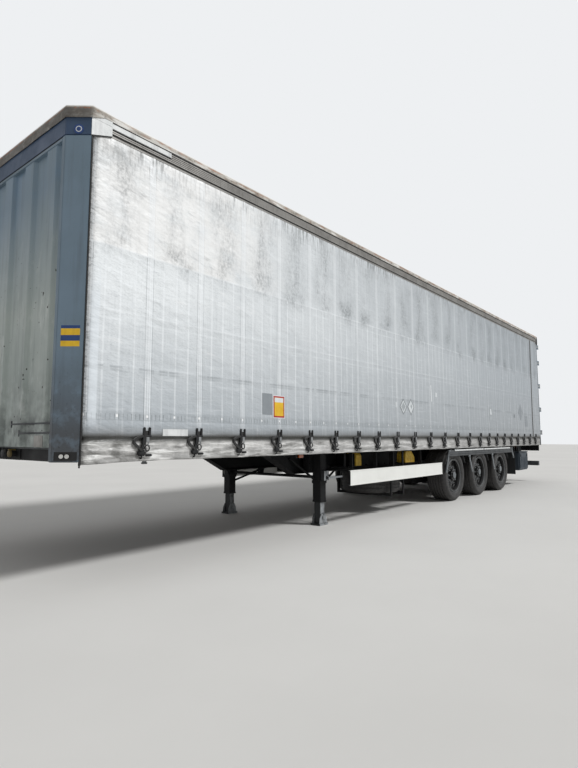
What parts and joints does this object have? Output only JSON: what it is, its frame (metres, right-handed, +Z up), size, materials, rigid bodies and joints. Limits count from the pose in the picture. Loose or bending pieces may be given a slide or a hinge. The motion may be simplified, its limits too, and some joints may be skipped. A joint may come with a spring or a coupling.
{
  "type": "curtain-sided semi trailer",
  "caption": "Three-axle semi trailer with soft side curtains, sliding roof, rear doors, landing legs and kingpin coupling.",
  "frame": {"origin": "on the ground under the middle of the body", "axes": "+X forward to the front wall, +Y to the trailer's left, +Z up"},
  "size_m": [13.75, 2.55, 4],
  "materials": {
    "chassis_steel": "black chassis paint, dusty, satin",
    "curtain_pvc": "light grey coated fabric, weathered, satin",
    "roof_pvc": "off-white coated fabric, stained",
    "post_steel": "blue-grey paint, worn, satin",
    "wall_steel": "off-white paint, streaked, satin",
    "roof_aluminium": "mill finish, dull",
    "floor_plywood": "film-faced plywood, scuffed",
    "zinc_steel": "galvanised, dull",
    "tyre_rubber": "grey-black rubber, dusty",
    "rim_steel": "black paint, worn",
    "guard_aluminium": "white paint on aluminium",
    "rail_aluminium": "anodised, dusty",
    "black_plastic": "black polypropylene, dusty",
    "box_plastic": "grey-blue polyethylene",
    "spring_rubber": "black rubber bellows",
    "lamp_red": "red lamp lens",
    "chock_yellow": "yellow plastic",
    "door_panel": "light grey paint, satin"
  },
  "bodies": {
    "trailer": {"air_springs": "spring_rubber", "air_tanks": "chassis_steel", "axles": "chassis_steel", "chock_holders": "chassis_steel", "connection_panel": "chassis_steel", "corner_posts": "post_steel", "cross_members": "chassis_steel", "curtain_buckles": "chassis_steel", "curtain_left": "curtain_pvc", "curtain_right": "curtain_pvc", "front_header": "post_steel", "front_sill": "chassis_steel", "front_wall": "wall_steel", "kingpin": "zinc_steel", "landing_feet": "zinc_steel", "landing_gear_shaft": "zinc_steel", "landing_legs": "chassis_steel", "load_floor": "floor_plywood", "main_beams": "chassis_steel", "mud_flaps": "black_plastic", "mudguards": "black_plastic", "rear_header": "chassis_steel", "rear_lamps": "lamp_red", "rear_posts": "chassis_steel", "rear_sill": "chassis_steel", "roof_bows": "roof_aluminium", "roof_rails": "roof_aluminium", "roof_tarpaulin": "roof_pvc", "side_guards": "guard_aluminium", "side_posts": "zinc_steel", "side_raves": "chassis_steel", "skid_plate": "chassis_steel", "spare_wheel": "tyre_rubber", "spare_wheel_carrier": "chassis_steel", "spring_hangers": "chassis_steel", "tool_box": "box_plastic", "trailing_arms": "chassis_steel", "underrun_bumper": "chassis_steel", "wheel_chocks": "chock_yellow", "wheel_rails": "rail_aluminium"},
    "wheel_front_left": {"tyre_front_left": "tyre_rubber", "rim_front_left": "rim_steel"},
    "wheel_middle_left": {"tyre_middle_left": "tyre_rubber", "rim_middle_left": "rim_steel"},
    "wheel_rear_left": {"tyre_rear_left": "tyre_rubber", "rim_rear_left": "rim_steel"},
    "wheel_front_right": {"tyre_front_right": "tyre_rubber", "rim_front_right": "rim_steel"},
    "wheel_middle_right": {"tyre_middle_right": "tyre_rubber", "rim_middle_right": "rim_steel"},
    "wheel_rear_right": {"tyre_rear_right": "tyre_rubber", "rim_rear_right": "rim_steel"},
    "door_left": {"rear_door_left": "door_panel", "lock_bars_left": "zinc_steel"},
    "door_right": {"rear_door_right": "door_panel", "lock_bars_right": "zinc_steel"}
  },
  "joints": [
    {"name": "wheel_front_left_turn", "type": "hinge", "parent": "trailer", "child": "wheel_front_left", "pos_m": [-0.852, 1.04, 0.475], "axis": [0, 1, 0], "continuous": true},
    {"name": "wheel_middle_left_turn", "type": "hinge", "parent": "trailer", "child": "wheel_middle_left", "pos_m": [-2.162, 1.04, 0.475], "axis": [0, 1, 0], "continuous": true},
    {"name": "wheel_rear_left_turn", "type": "hinge", "parent": "trailer", "child": "wheel_rear_left", "pos_m": [-3.472, 1.04, 0.475], "axis": [0, 1, 0], "continuous": true},
    {"name": "wheel_front_right_turn", "type": "hinge", "parent": "trailer", "child": "wheel_front_right", "pos_m": [-0.852, -1.04, 0.475], "axis": [0, 1, 0], "continuous": true},
    {"name": "wheel_middle_right_turn", "type": "hinge", "parent": "trailer", "child": "wheel_middle_right", "pos_m": [-2.162, -1.04, 0.475], "axis": [0, 1, 0], "continuous": true},
    {"name": "wheel_rear_right_turn", "type": "hinge", "parent": "trailer", "child": "wheel_rear_right", "pos_m": [-3.472, -1.04, 0.475], "axis": [0, 1, 0], "continuous": true},
    {"name": "door_left_swing", "type": "hinge", "parent": "trailer", "child": "door_left", "pos_m": [-6.863, 1.263, 2.5], "axis": [0, 0, -1], "range_deg": [0, 270]},
    {"name": "door_right_swing", "type": "hinge", "parent": "trailer", "child": "door_right", "pos_m": [-6.863, -1.263, 2.5], "axis": [0, 0, 1], "range_deg": [0, 270]}
  ]
}
